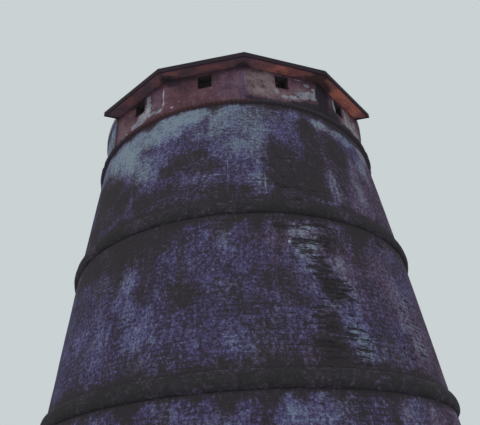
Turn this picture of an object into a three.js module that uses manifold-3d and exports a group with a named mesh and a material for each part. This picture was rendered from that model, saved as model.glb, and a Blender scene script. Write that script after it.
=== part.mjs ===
// A round masonry water tower: three tapering tiers of wall between projecting roll courses, a thin
// ledge, and a head under a low roof. The head has a bay of four flat faces at the front and another at
// the back, each face with a small window under wide eaves, and plain round flanks between the bays.
// Millimetres, Z up. The origin is at the middle of the base, and the front is the -Y side.
import * as THREE from "three";
import { mergeVertices } from "three/addons/utils/BufferGeometryUtils.js";
import Module from "manifold-3d";

const manifold = await Module();
manifold.setup();

// Outside radius of the tower wall at each tier mark, which is the underside of the course there
const MARKS = [
  { z: 0, radius: 4580 },
  { z: 3500, radius: 4238 },
  { z: 6750, radius: 3957 },
  { z: 9860, radius: 3640 },
];
const [BASE, LOWER, MIDDLE, UPPER] = MARKS;
const WALL_THICKNESS = 700;
const ROUND_FACETS = 72;
const JOINT = 0.3;

// Half-round courses that stand proud of the wall, and the thinner ledge under the head
const ROLL_HEIGHT = 320;
const ROLL_PROJECTION = 100;
const ROLL_STEPS = 6;
const LEDGE_HEIGHT = 80;
const LEDGE_PROJECTION = 110;
const LEDGE_STEPS = 3;

// The head: a bay's flat faces are four sides of a regular twelve-sided polygon, and the round flanks
// stand a little behind its corners
const HEAD_SIDES = 12;
const BAY_FACES = 4;
const HEAD_CORNER_RADIUS = 3650;
const FLANK_RADIUS = 3620;
const HEAD_WALL_THICKNESS = 220;
const WINDOW_WIDTH = 340;
const WINDOW_HEIGHT = 410;
const WINDOW_SILL_Z = 10565;
const FLOOR_THICKNESS = 150;
const FLOOR_CLEARANCE = 20;

// The roof: corner radius at the bays' eaves, the height of the eaves' underside, and the pitch.
// The board round the eaves hangs a little below the soffit. Over the flanks the roof has only a lip.
const EAVES_CORNER_RADIUS = 4008;
const EAVES_UNDERSIDE_Z = 10990;
const ROOF_PITCH = THREE.MathUtils.degToRad(12);
const ROOF_THICKNESS = 140;
const FASCIA_THICKNESS = 30;
const FASCIA_DROP = 40;
const FLANK_LIP = 35;

// A head face spans FACE_ANGLE; its middle is nearer to the axis than its corners by FACE_RATIO
const FACE_ANGLE = (2 * Math.PI) / HEAD_SIDES;
const FACE_RATIO = Math.cos(FACE_ANGLE / 2);
const QUARTER = Math.PI / 2;
const HEAD_BASE_Z = UPPER.z + LEDGE_HEIGHT;
const HEAD_INNER_CORNER_RADIUS = HEAD_CORNER_RADIUS - HEAD_WALL_THICKNESS / FACE_RATIO;
const LIP_RADIUS = FLANK_RADIUS + FLANK_LIP;

// Cutting tools reach past the whole tower
const CUT_REACH = 8000;
const CUT_HEIGHT = 14000;

const SIDES = { front: 0, right: QUARTER, back: 2 * QUARTER, left: 3 * QUARTER };
const BAYS = { front: 0, back: 2 * QUARTER };
const BAY_ANGLE = BAY_FACES * FACE_ANGLE;
const FLANKS = { right: QUARTER, left: 3 * QUARTER };
const FLANK_ANGLE = Math.PI - BAY_ANGLE;

const LIMEWASH = new THREE.MeshStandardMaterial({ color: 0x6d6a7d, roughness: 0.95, metalness: 0 });
const STAINED_ROLL = new THREE.MeshStandardMaterial({ color: 0x35313a, roughness: 0.95, metalness: 0 });
const LEDGE_BRICK = new THREE.MeshStandardMaterial({ color: 0x3d2c2f, roughness: 0.9, metalness: 0 });
const RED_PAINT = new THREE.MeshStandardMaterial({ color: 0x6e4248, roughness: 0.85, metalness: 0 });
const FLOOR_CONCRETE = new THREE.MeshStandardMaterial({ color: 0x77736f, roughness: 0.9, metalness: 0 });
const ROOF_BOARDING = new THREE.MeshStandardMaterial({ color: 0x8a4636, roughness: 0.8, metalness: 0 });
const DARK_FASCIA = new THREE.MeshStandardMaterial({ color: 0x302a33, roughness: 0.75, metalness: 0 });

// A closed geometry as a solid that can be cut
function solidOf(geometry) {
  geometry.deleteAttribute("normal");
  geometry.deleteAttribute("uv");
  const merged = mergeVertices(geometry);
  return new manifold.Manifold(
    new manifold.Mesh({
      numProp: 3,
      vertProperties: merged.attributes.position.array,
      triVerts: new Uint32Array(merged.index.array),
    }),
  );
}

// A solid as a geometry with flat faces
function geometryOf(solid) {
  const mesh = solid.getMesh();
  const indexed = new THREE.BufferGeometry();
  indexed.setAttribute("position", new THREE.BufferAttribute(mesh.vertProperties, 3));
  indexed.setIndex(new THREE.BufferAttribute(mesh.triVerts, 1));
  const flat = indexed.toNonIndexed();
  flat.computeVertexNormals();
  return flat;
}

// A section of [radius, z] points turned about the tower's axis, in flat facets.
// Azimuths run from the front towards the right.
function turned(section, facets) {
  const points = section.map(([radius, z]) => new THREE.Vector2(radius, z));
  const geometry = new THREE.LatheGeometry(points, facets);
  return solidOf(geometry.rotateX(QUARTER));
}

// An upright prism on a regular polygon, which reaches past the head
function prism(radius, facets) {
  const section = [
    [0, HEAD_BASE_Z],
    [radius, HEAD_BASE_Z],
    [radius, CUT_HEIGHT],
    [0, CUT_HEIGHT],
  ];
  return turned(section, facets);
}

// The prism between two azimuths, an inset short of each
function sector(middle, angle, inset = JOINT / 2) {
  const apex = inset / Math.sin(angle / 2);
  const corner = (azimuth, reach) => [
    apex * Math.sin(middle) + reach * Math.sin(azimuth),
    -apex * Math.cos(middle) - reach * Math.cos(azimuth),
  ];
  const outline = new THREE.Shape();
  outline.moveTo(...corner(middle, 0));
  outline.lineTo(...corner(middle - angle / 2, CUT_REACH));
  outline.lineTo(...corner(middle + angle / 2, CUT_REACH));
  outline.closePath();
  return solidOf(new THREE.ExtrudeGeometry(outline, { depth: CUT_HEIGHT, bevelEnabled: false }));
}

function piece(name, solid, material) {
  const mesh = new THREE.Mesh(geometryOf(solid), material);
  mesh.name = name;
  return mesh;
}

// The wall's outside radius at a height, straight between the tier marks
function wallRadius(z) {
  const i = z < LOWER.z ? 1 : z < MIDDLE.z ? 2 : 3;
  const below = MARKS[i - 1];
  const above = MARKS[i];
  return THREE.MathUtils.mapLinear(z, below.z, above.z, below.radius, above.radius);
}

// A full ring cut into a front, right, back and left quarter
function quarters(name, ring, material) {
  const group = new THREE.Group();
  for (const [side, middle] of Object.entries(SIDES)) {
    const quarter = ring.intersect(sector(middle, QUARTER));
    group.add(piece(`${name}_${side}`, quarter, material));
  }
  return group;
}

// Plain wall from the top of one course to the underside of the next
function tierWall(name, bottom, top) {
  const section = [
    [wallRadius(bottom), bottom],
    [wallRadius(top), top],
    [wallRadius(top) - WALL_THICKNESS, top],
    [wallRadius(bottom) - WALL_THICKNESS, bottom],
    [wallRadius(bottom), bottom],
  ];
  return quarters(name, turned(section, ROUND_FACETS), LIMEWASH);
}

// A bonded course through the wall, with a rounded nose outside
function noseCourse(name, bottom, height, projection, steps, material) {
  const top = bottom + height;
  const section = [];
  for (let i = 0; i <= steps; i++) {
    const angle = -Math.PI / 2 + (Math.PI * i) / steps;
    const z = bottom + (height * (1 + Math.sin(angle))) / 2;
    section.push([wallRadius(z) + projection * Math.cos(angle), z]);
  }
  section.push([wallRadius(top) - WALL_THICKNESS, top]);
  section.push([wallRadius(bottom) - WALL_THICKNESS, bottom]);
  section.push(section[0]);
  return quarters(name, turned(section, ROUND_FACETS), material);
}

function rollCourse(name, bottom) {
  return noseCourse(name, bottom, ROLL_HEIGHT, ROLL_PROJECTION, ROLL_STEPS, STAINED_ROLL);
}

function ledge() {
  return noseCourse("ledge", UPPER.z, LEDGE_HEIGHT, LEDGE_PROJECTION, LEDGE_STEPS, LEDGE_BRICK);
}

// Height of the roof's underside over a point whose corner radius is given
function undersideZ(cornerRadius) {
  return EAVES_UNDERSIDE_Z + (EAVES_CORNER_RADIUS - cornerRadius) * FACE_RATIO * Math.tan(ROOF_PITCH);
}

// Everything that is lower than the roof, a joint short of its underside
function belowRoof() {
  const section = [
    [0, BASE.z],
    [EAVES_CORNER_RADIUS, BASE.z],
    [EAVES_CORNER_RADIUS, EAVES_UNDERSIDE_Z - JOINT],
    [0, undersideZ(0) - JOINT],
  ];
  return turned(section, HEAD_SIDES);
}

// The slab that the tank's room stands on, inside the head's walls
function tankFloor() {
  const radius = FLANK_RADIUS - HEAD_WALL_THICKNESS - FLOOR_CLEARANCE;
  const section = [
    [0, HEAD_BASE_Z],
    [radius, HEAD_BASE_Z],
    [radius, HEAD_BASE_Z + FLOOR_THICKNESS],
    [0, HEAD_BASE_Z + FLOOR_THICKNESS],
  ];
  return piece("tank_floor", turned(section, HEAD_SIDES), FLOOR_CONCRETE);
}

// The bays' wall panels, each with its window, numbered from the front bay's left end towards the right
function bayWalls() {
  const group = new THREE.Group();
  const ring = prism(HEAD_CORNER_RADIUS, HEAD_SIDES)
    .subtract(prism(HEAD_INNER_CORNER_RADIUS, HEAD_SIDES))
    .intersect(belowRoof());
  for (const middle of Object.values(BAYS)) {
    for (let i = 0; i < BAY_FACES; i++) {
      const azimuth = middle + (i - (BAY_FACES - 1) / 2) * FACE_ANGLE;
      const hole = new THREE.BoxGeometry(WINDOW_WIDTH, 3 * HEAD_WALL_THICKNESS, WINDOW_HEIGHT);
      hole.translate(0, -HEAD_CORNER_RADIUS * FACE_RATIO, WINDOW_SILL_Z + WINDOW_HEIGHT / 2);
      hole.rotateZ(azimuth);
      const panel = ring.intersect(sector(azimuth, FACE_ANGLE)).subtract(solidOf(hole));
      group.add(piece(`head_wall_${group.children.length + 1}`, panel, RED_PAINT));
    }
  }
  return group;
}

// The plain round walls that join the bays
function flankWalls() {
  const group = new THREE.Group();
  const ring = prism(FLANK_RADIUS, ROUND_FACETS)
    .subtract(prism(FLANK_RADIUS - HEAD_WALL_THICKNESS, ROUND_FACETS))
    .intersect(belowRoof());
  for (const [side, middle] of Object.entries(FLANKS)) {
    group.add(piece(`flank_wall_${side}`, ring.intersect(sector(middle, FLANK_ANGLE)), LIMEWASH));
  }
  return group;
}

// The twelve-sided pitched slab that the roof's pieces are cut from, with its underside lowered by a drop
function roofSlab(drop = 0) {
  const section = [
    [0, undersideZ(0) - drop],
    [EAVES_CORNER_RADIUS, EAVES_UNDERSIDE_Z - drop],
    [EAVES_CORNER_RADIUS, EAVES_UNDERSIDE_Z + ROOF_THICKNESS],
    [0, undersideZ(0) + ROOF_THICKNESS],
  ];
  return turned(section, HEAD_SIDES);
}

// The plan of a bay's eaves, drawn in by an inset along the eaves and at the bay's two ends
function eavesPlan(middle, inset) {
  const radius = EAVES_CORNER_RADIUS - inset / FACE_RATIO;
  return prism(radius, HEAD_SIDES).intersect(sector(middle, BAY_ANGLE, inset));
}

// The pitched deck, whose underside is the soffit
function roofDeck() {
  const inset = FASCIA_THICKNESS + JOINT;
  const plan = prism(LIP_RADIUS, ROUND_FACETS)
    .add(eavesPlan(BAYS.front, inset))
    .add(eavesPlan(BAYS.back, inset));
  return piece("roof_deck", roofSlab().intersect(plan), ROOF_BOARDING);
}

// The board round each bay's eaves, which returns to the wall at both ends
function fascias() {
  const group = new THREE.Group();
  for (const [side, middle] of Object.entries(BAYS)) {
    const board = eavesPlan(middle, 0)
      .subtract(eavesPlan(middle, FASCIA_THICKNESS))
      .subtract(prism(LIP_RADIUS + JOINT, ROUND_FACETS))
      .intersect(roofSlab(FASCIA_DROP));
    group.add(piece(`fascia_${side}`, board, DARK_FASCIA));
  }
  return group;
}

const tower = new THREE.Group();
tower.add(rollCourse("base_roll", BASE.z));
tower.add(tierWall("lower_wall", BASE.z + ROLL_HEIGHT, LOWER.z));
tower.add(rollCourse("lower_roll", LOWER.z));
tower.add(tierWall("middle_wall", LOWER.z + ROLL_HEIGHT, MIDDLE.z));
tower.add(rollCourse("middle_roll", MIDDLE.z));
tower.add(tierWall("upper_wall", MIDDLE.z + ROLL_HEIGHT, UPPER.z));
tower.add(ledge());
tower.add(tankFloor());
tower.add(bayWalls());
tower.add(flankWalls());
tower.add(roofDeck());
tower.add(fascias());

export default tower;
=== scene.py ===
import collections
import itertools
import math

import bmesh
import bpy
import numpy as np
from mathutils import Matrix, Vector


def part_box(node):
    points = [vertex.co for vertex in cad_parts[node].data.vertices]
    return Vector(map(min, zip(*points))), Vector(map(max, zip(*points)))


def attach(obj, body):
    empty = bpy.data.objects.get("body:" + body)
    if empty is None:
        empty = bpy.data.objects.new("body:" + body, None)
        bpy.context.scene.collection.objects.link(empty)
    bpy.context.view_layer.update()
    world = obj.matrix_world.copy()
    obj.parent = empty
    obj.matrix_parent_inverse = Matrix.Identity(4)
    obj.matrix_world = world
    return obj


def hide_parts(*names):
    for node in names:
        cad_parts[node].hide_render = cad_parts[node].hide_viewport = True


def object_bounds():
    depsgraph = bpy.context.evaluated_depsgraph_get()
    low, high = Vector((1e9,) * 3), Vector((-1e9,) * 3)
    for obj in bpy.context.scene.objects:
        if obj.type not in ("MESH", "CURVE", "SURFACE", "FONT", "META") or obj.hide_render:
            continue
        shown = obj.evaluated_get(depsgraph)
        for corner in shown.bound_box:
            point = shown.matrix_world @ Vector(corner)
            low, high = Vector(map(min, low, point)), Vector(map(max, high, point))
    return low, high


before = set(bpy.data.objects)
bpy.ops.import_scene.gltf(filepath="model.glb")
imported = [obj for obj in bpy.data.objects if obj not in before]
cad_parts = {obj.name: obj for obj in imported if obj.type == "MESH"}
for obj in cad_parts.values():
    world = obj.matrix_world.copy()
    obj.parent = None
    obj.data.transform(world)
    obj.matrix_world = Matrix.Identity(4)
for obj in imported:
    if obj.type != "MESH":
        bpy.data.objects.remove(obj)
CAD_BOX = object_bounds()

# Metres, Z up. An azimuth is 0 at the front (-Y) and grows towards the right (+X).
TURN = math.tau
QUARTER = TURN / 4
GROUND = CAD_BOX[0][2]
LEVEL_TOLERANCE = 0.001
SMOOTH_ANGLE = math.radians(40)
SIDES = ("front", "right", "back", "left")
TIERS = ("lower", "middle", "upper")
ROLLS = ("base_roll", "lower_roll", "middle_roll")

# Brickwork: a brick's length and height, each with its joint, and how deep its relief goes
BRICK_LENGTH = 0.24
COURSE_HEIGHT = 0.09
JOINT_WIDTH = 0.010
JOINT_CHAMFER = 0.006
COATED_JOINT_DEPTH = 0.0015
WORN_JOINT_DEPTH = 0.002
LOST_FACE_DEPTH = 0.010

# The smooth rolls, and the ledge of bricks laid on edge
ROLL_STEPS = 480
ROLL_NOSE_STEPS = 12
ROLL_DENTS = 0.010
LEDGE_NOSE_STEPS = 6
LEDGE_DENTS = 0.012
LEDGE_BRICK_WIDTH = 0.112
LEDGE_JOINT_DEPTH = 0.007

# The head: a bay of four flat faces at the front and another at the back are part of a regular
# twelve-sided prism, and the plain flanks between them are round
HEAD_SIDES = 12
FACE_ANGLE = TURN / HEAD_SIDES
FACE_RATIO = math.cos(FACE_ANGLE / 2)
BAY_FACES = 4
BAY_ANGLE = BAY_FACES * FACE_ANGLE
BAYS = {"front": 0, "back": TURN / 2}
FACE_TURNS = [(i - (BAY_FACES - 1) / 2) * FACE_ANGLE for i in range(BAY_FACES)]
FLANK_ANGLE = TURN / 2 - BAY_ANGLE
FLANKS = {"right": QUARTER, "left": 3 * QUARTER}
WINDOW_WIDTH = 0.34
WINDOW_HEIGHT = 0.41
WINDOW_SILL = 10.565
LINTEL = WINDOW_SILL + WINDOW_HEIGHT
PLASTER_CELL = 0.035
PEEL_DEPTH = 0.004
CHIP_DEPTH = 0.010
# The hair's breadth between pieces that would otherwise share a face
SEAM = 0.0003

# The roof: a twelve-sided pyramid over the whole head, boarded, felted and capped along its hips
ROOF_PITCH = math.radians(12)
FALL = FACE_RATIO * math.tan(ROOF_PITCH)
STEPS_PER_FACE = 24
AXIS_HOLE = 0.02
SOFFIT_BOARDS = 3
WIDE_SOFFIT = 0.2
FIRST_GROOVE = 0.012
GROOVE_WIDTH = 0.010
GROOVE_DEPTH = 0.008
COVERING_SUNK = 0.022
LIP_REACH = 0.035
COVERING_THICKNESS = 0.006
COVERING_LAPS = 7
COVERING_OVERHANG = 0.006
TONE_SCATTER = 12.9898
HIP_HALF_WIDTH = 0.07
HIP_HEIGHT = 0.016
HIP_STEPS = 6
CAP_RADIUS = 0.30
CAP_SUNK = 0.003
FASCIA_THICKNESS = 0.030
FASCIA_DROP = 0.018
ARRIS = 0.004

# The soffit's marks: the distance from the axis at which the soffit starts, a redder streak a
# little way out from there, the darkest hip, and the middle of a pool of sunlight painted orange
SOFFIT_START = 3.53
STREAK_LINE = 0.16
STREAK_HALF_WIDTH = 0.10
DARKEST_HIP_AZIMUTH = FACE_ANGLE
SUNLIT_AZIMUTH = math.radians(47)

# The photograph's camera, fitted to the round courses, the outlines and the eaves
CAMERA_DISTANCE = 12.0
CAMERA_HEIGHT = 1.6
CAMERA_AZIMUTH = math.radians(-5)
CAMERA_TURN = math.radians(0.27)
CAMERA_PITCH = math.radians(32.7)
CAMERA_ROLL = math.radians(-3.35)
FOCAL_PIXELS = 517.2
PHOTO_WIDTH_PIXELS = 480
SENSOR_WIDTH_MM = 36

# The studio: a pale floor, a pale sky and three soft panels that face the middle of the tower
FLOOR_HALF_WIDTH = 80
PANEL_SIZE = 14
PANEL_AIM = Vector((0, 0, 6))
PANEL_COLOUR = (1.0, 0.94, 0.97)
SOFT_PANELS = [
    ("left_panel", 1300, (-16, -16, 12)),
    ("right_panel", 900, (18, -15, 8)),
    ("back_panel", 1400, (2, 24, 14)),
]


# Measures of points and of the CAD nodes

def points_of(mesh):
    """A mesh's vertices, one a row."""
    points = np.empty(3 * len(mesh.vertices))
    mesh.vertices.foreach_get("co", points)
    return points.reshape(-1, 3)


def polar(points):
    """Azimuth of each point, and its distance from the axis."""
    return np.arctan2(points[:, 0], -points[:, 1]), np.hypot(points[:, 0], points[:, 1])


def around(azimuth, radius, height):
    """Points at azimuths in radians, distances from the axis and heights."""
    return np.stack(
        np.broadcast_arrays(radius * np.sin(azimuth), -radius * np.cos(azimuth), height), axis=-1
    )


def wrapped(turn):
    """The same turn, between half a turn back and half a turn on."""
    return (turn + TURN / 2) % TURN - TURN / 2


def span_of(node):
    """The lowest and highest point of a CAD node."""
    return [corner.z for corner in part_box(node)]


def cad_points(node):
    """The corners of a CAD node's mesh, one a row."""
    return points_of(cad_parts[node].data)


def radii_of(node):
    """How far each corner of a CAD node is from the axis."""
    return polar(cad_points(node))[1]


def rim(node, height):
    """Outside and inside radius of a round CAD node at a height where it has corners."""
    at_height = abs(cad_points(node)[:, 2] - height) < LEVEL_TOLERANCE
    radii = radii_of(node)[at_height]
    return radii.max(), radii.min()


def wall_radius(height):
    """Radius of the outside of the wall at a height, by the slope of the tier that reaches above it."""
    wall = next(f"{tier}_wall_front" for tier in TIERS if height < span_of(f"{tier}_wall_front")[1])
    low, high = span_of(wall)
    foot, top = rim(wall, low)[0], rim(wall, high)[0]
    return foot + (top - foot) * (height - low) / (high - low)


# The head's walls and roof. A corner radius is the distance from the axis to a corner of the prism
# or pyramid at some height. Heights on the roof are counted from the deck's underside.
HEAD_FOOT = span_of("head_wall_1")[0]
HEAD_OUTER, HEAD_INNER = rim("head_wall_1", HEAD_FOOT)
HEAD_THICKNESS = (HEAD_OUTER - HEAD_INNER) * FACE_RATIO
HALF_FACE = HEAD_OUTER * math.sin(FACE_ANGLE / 2) - SEAM
LIP_RADIUS = radii_of("flank_wall_right").max() + LIP_REACH
EAVES_EDGE = radii_of("fascia_front").max()
BOARD_INSIDE = EAVES_EDGE - FASCIA_THICKNESS / FACE_RATIO
DECK_EDGE = radii_of("roof_deck").max()
DECK_LOW, DECK_HIGH = span_of("roof_deck")
DECK_THICKNESS = DECK_HIGH - DECK_LOW - DECK_EDGE * FALL
COVERING_BASE = DECK_THICKNESS - COVERING_SUNK


def underside(corner):
    """Height of the deck's underside where its corner radius is this."""
    return DECK_LOW + (DECK_EDGE - corner) * FALL


def from_face_middle(azimuth):
    """How far an azimuth is turned from the middle of its face of the twelve-sided head."""
    return azimuth % FACE_ANGLE - FACE_ANGLE / 2


def pitched(points):
    """Height of the deck's underside over points."""
    azimuth, radius = polar(points)
    return underside(radius * np.cos(from_face_middle(azimuth)) / FACE_RATIO)


# Fields over the surface

LATTICE_SIZE = 32
LATTICE = np.random.default_rng(11).uniform(-1, 1, (LATTICE_SIZE,) * 3)
SEED_SHIFT = 5.37
OCTAVE_SHARE = 0.6

# Unevenness, in layers of a height, the size of the hills and a seed. Three sizes are along X, Y and Z.
DRIP_STREAKS = ((1, (0.24, 0.24, 40), 3), (0.5, (0.09, 0.09, 9), 4))
LOSS_RUNS = ((1, (0.5, 0.5, 0.045), 40), (0.5, (0.12, 0.12, 0.05), 41))
WALL_LUMPS = ((0.003, 0.45, 5), (0.0015, 0.10, 6))
NOSE_DENTS = ((0.5, 0.30, 7), (0.3, 0.09, 9))
NOSE_CHIPS = ((1, (0.16, 0.16, 0.10), 8),)
PLASTER_LUMPS = ((0.004, 0.40, 14), (0.0015, 0.10, 15))
WINDOW_CHIPS = ((1, 0.07, 16),)
SOFFIT_SAG = ((0.003, 0.5, 18),)
FELT_RIPPLE = ((0.0015, 0.30, 20),)
FASCIA_WAVE = ((0.003, 0.6, 24),)


def hills(points, size, seed=0):
    """Smooth random heights from -1 to 1 at an array of points, with hills about size metres across."""
    scaled = points / np.asarray(size) + SEED_SHIFT * seed
    cell = np.floor(scaled).astype(int)
    part = scaled - cell
    part = part * part * (3 - 2 * part)
    total = np.zeros(points.shape[:-1])
    for corner in itertools.product((0, 1), repeat=3):
        weight = np.where(corner, part, 1 - part).prod(axis=-1)
        x, y, z = np.moveaxis((cell + corner) % LATTICE_SIZE, -1, 0)
        total += weight * LATTICE[x, y, z]
    return total


def rugged(points, size, seed=0, octaves=4):
    """Hills with ever smaller hills on them."""
    size = np.asarray(size)
    return sum(OCTAVE_SHARE ** i * hills(points, size / 2 ** i, seed + 3 * i) for i in range(octaves))


def lumps(points, layers):
    """Hills of several sizes together, from layers of (height, size, seed)."""
    return sum(height * hills(points, size, seed) for height, size, seed in layers)


def rise(value, low, high):
    """0 below low, 1 above high, and smooth between."""
    part = np.clip((value - low) / (high - low), 0, 1)
    return part * part * (3 - 2 * part)


# A marked place on the wall: azimuth in degrees, the rest in metres, and how strongly it shows
Patch = collections.namedtuple("Patch", "azimuth height half_width half_height strength")

# Where the limewash is chalky and pale
CHALKY = [
    Patch(-50, 9.15, 0.90, 0.60, 1.0),
    Patch(-36, 9.45, 0.95, 0.50, 1.0),
    Patch(-37, 8.60, 0.45, 0.45, 0.7),
    Patch(-20, 9.60, 0.80, 0.28, 1.0),
    Patch(-18, 9.25, 0.30, 0.20, 0.5),
    Patch(-6, 9.35, 0.95, 0.50, 0.6),
    Patch(-3, 8.60, 0.45, 0.50, 0.5),
    Patch(2, 7.70, 0.12, 0.35, 0.3),
    Patch(28, 9.55, 0.26, 0.14, 0.8),
    Patch(38, 9.45, 0.40, 0.18, 0.8),
    Patch(51, 9.55, 0.40, 0.30, 0.8),
    Patch(26, 7.60, 0.15, 0.40, 0.5),
    Patch(38, 8.00, 0.18, 0.60, 0.5),
    Patch(47, 8.80, 0.25, 0.50, 0.4),
    Patch(-70, 10.50, 0.80, 0.60, 0.9),
    Patch(-110, 10.30, 0.60, 0.50, 0.7),
    Patch(-37, 5.45, 0.24, 0.34, 0.22),
    Patch(-34, 5.00, 0.20, 0.30, 0.36),
    Patch(-31, 4.60, 0.26, 0.26, 0.40),
    Patch(-45, 5.10, 0.16, 0.50, 0.25),
    Patch(-42, 4.80, 0.25, 0.40, 0.15),
    Patch(-9, 6.20, 0.07, 0.35, 0.4),
    Patch(11, 6.42, 0.34, 0.18, 0.7),
    Patch(12.5, 6.02, 0.24, 0.26, 0.65),
    Patch(12, 5.66, 0.24, 0.22, 0.4),
    Patch(20, 5.72, 0.22, 0.28, 0.4),
    Patch(20.5, 5.30, 0.18, 0.28, 0.4),
    Patch(22, 4.45, 0.22, 0.40, 0.42),
    Patch(46, 4.60, 0.40, 0.40, 0.10),
    Patch(38, 5.20, 0.50, 0.50, 0.12),
    Patch(-25, 3.35, 0.25, 0.20, 0.1),
    Patch(-13, 3.20, 0.60, 0.30, 0.22),
    Patch(6, 3.20, 0.60, 0.30, 0.22),
    Patch(34, 3.15, 0.50, 0.30, 0.2),
]
# Where it is dark with damp, and with painted shade: the thin bands at about 9.7 m, just under the ledge,
# are painted shadow, and the broad bands just under the middle roll are partly painted shade
DAMP_AND_SHADE = [
    Patch(-53, 8.25, 0.45, 0.42, 1.0),
    Patch(-44, 7.75, 0.45, 0.35, 1.0),
    Patch(-62, 8.60, 0.40, 0.50, 0.9),
    Patch(-60, 7.80, 0.50, 0.50, 0.9),
    Patch(-36, 7.55, 0.35, 0.22, 0.9),
    Patch(-21, 8.30, 0.34, 0.24, 0.8),
    Patch(-27, 8.10, 0.20, 0.20, 0.8),
    Patch(-15, 7.98, 0.35, 0.20, 0.7),
    Patch(7.4, 7.80, 0.13, 0.75, 1.0),
    Patch(12, 7.80, 0.42, 0.75, 1.0),
    Patch(20.5, 8.30, 0.24, 0.95, 1.0),
    Patch(21.5, 9.20, 0.17, 0.45, 1.0),
    Patch(31, 8.80, 0.32, 0.45, 0.8),
    Patch(30, 7.50, 0.12, 0.50, 0.6),
    Patch(12, 9.78, 0.40, 0.05, 0.9),
    Patch(24, 9.76, 0.40, 0.06, 1.0),
    Patch(36, 9.74, 0.50, 0.09, 1.0),
    Patch(50, 9.72, 0.50, 0.12, 1.0),
    Patch(-25, 7.50, 0.70, 0.22, 0.6),
    Patch(-8, 7.35, 0.60, 0.12, 0.7),
    Patch(-56, 6.42, 0.80, 0.26, 1.0),
    Patch(-36, 6.50, 0.80, 0.32, 1.0),
    Patch(-20, 5.20, 0.24, 0.20, 0.9),
    Patch(-31, 5.40, 0.12, 0.30, 0.6),
    Patch(-20, 5.90, 0.08, 0.60, 0.6),
    Patch(-40, 6.10, 0.10, 0.45, 0.8),
    Patch(-31, 6.20, 0.10, 0.40, 0.7),
    Patch(4, 5.35, 0.35, 0.22, 0.6),
    Patch(17.5, 5.20, 0.20, 0.32, 0.9),
    Patch(15, 4.60, 0.20, 0.35, 0.9),
    Patch(14.5, 4.05, 0.30, 0.35, 1.0),
    Patch(8, 4.95, 0.35, 0.10, 0.6),
    Patch(20, 6.20, 0.25, 0.30, 0.8),
    Patch(-30, 3.20, 0.05, 0.50, 0.9),
    Patch(-22, 3.10, 0.07, 0.40, 0.9),
    Patch(-2, 3.10, 0.06, 0.40, 0.9),
    Patch(26, 3.00, 0.05, 0.60, 0.9),
]
# Where it has worn off the bricks, and some have lost their face
WORN = [
    Patch(11, 7.60, 0.50, 0.50, 0.7),
    Patch(-18, 7.95, 0.50, 0.25, 0.5),
    Patch(14, 6.50, 0.42, 0.12, 1.0),
    Patch(13.5, 6.12, 0.34, 0.26, 1.0),
    Patch(18, 6.20, 0.30, 0.30, 0.9),
    Patch(16, 5.70, 0.34, 0.28, 1.0),
    Patch(18.5, 5.25, 0.30, 0.36, 1.0),
    Patch(15, 4.85, 0.28, 0.26, 0.9),
    Patch(14.5, 4.35, 0.34, 0.45, 1.0),
    Patch(21, 4.40, 0.32, 0.50, 1.0),
    Patch(44, 4.95, 0.55, 0.60, 0.55),
    Patch(40, 4.30, 0.60, 0.20, 0.60),
    Patch(42, 6.45, 0.40, 0.30, 0.50),
    Patch(7, 6.45, 0.22, 0.12, 0.9),
]

# How far damp and painted shade creep from a course that stands proud of the wall: as drip and
# shade down the wall below it, and as splash up the wall above it. Each course has its own share of the two.
DRIP_REACH = 0.20
DRIP_EXTRA = 0.60
SPLASH_REACH = 0.14
SPLASH_EXTRA = 0.20
DRIPPING = {
    "base_roll": (1.0, 1.0),
    "lower_roll": (0.34, 0.65),
    "middle_roll": (0.75, 0.8),
    "ledge": (0.22, 1.0),
}

# The parts of the tower that the photograph doesn't show are marked at random in the same way: the
# sides and back between two azimuths and up to a height, and the foot of the front
HIDDEN_SIDES = (70, 285, 9.9)
HIDDEN_FOOT = (-75, 70, 2.8)

# How far a mark reaches from its middle, and over how much of that it fades, in its half widths
MARK_REACH = 1.6
MARK_FADE = 1.1

# How ragged the marks and the damp and painted shade are at their edges, and the size of that, which is
# longer down the wall
MARK_RAGGED = 0.42
MARK_RAGGED_SIZE = (0.28, 0.28, 0.50)
DAMP_RAGGED = 0.25
DAMP_RAGGED_SIZE = (0.15, 0.15, 0.25)
PAINT_RAGGED = 0.45
PAINT_RAGGED_SIZE = 0.20


def drawn(random, count, *ranges):
    """Rows of random values, each value from its own range."""
    return [[random.uniform(*limits) for limits in ranges] for _ in range(count)]


def scattered(count, seed, half_widths, half_heights, strengths, region=HIDDEN_SIDES):
    """Random patches on a part of the tower that the photograph doesn't show."""
    first, last, top = region
    random = np.random.default_rng(seed)
    rows = drawn(random, count, (first, last), (GROUND, top), half_widths, half_heights, strengths)
    return [Patch(*row) for row in rows]


CHALKY += scattered(44, 21, (0.15, 0.8), (0.15, 0.6), (0.2, 0.6))
DAMP_AND_SHADE += scattered(32, 22, (0.08, 0.50), (0.25, 0.8), (0.4, 1.0))
WORN += scattered(18, 23, (0.2, 0.5), (0.2, 0.5), (0.6, 1.0))
CHALKY += scattered(9, 24, (0.15, 0.5), (0.15, 0.5), (0.2, 0.4), HIDDEN_FOOT)
DAMP_AND_SHADE += scattered(9, 25, (0.08, 0.35), (0.25, 0.8), (0.4, 1.0), HIDDEN_FOOT)
WORN += scattered(4, 26, (0.2, 0.4), (0.2, 0.4), (0.6, 1.0), HIDDEN_FOOT)


def shown(mark, across, upward, ragged):
    """How strongly a mark shows at distances from its middle, with a ragged edge."""
    distance = np.hypot(across / mark.half_width, upward / mark.half_height) + ragged
    return mark.strength * rise(MARK_REACH - distance, 0, MARK_FADE)


def marked(patches, azimuth, points, radius):
    """How strongly the patches mark each point, from 0 to 1, with ragged edges that run down the wall."""
    ragged = MARK_RAGGED * rugged(points, MARK_RAGGED_SIZE, 1)
    field = np.zeros(points.shape[:-1])
    for patch in patches:
        across = wrapped(azimuth - math.radians(patch.azimuth)) * radius
        field = np.maximum(field, shown(patch, across, points[..., 2] - patch.height, ragged))
    return field


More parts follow.
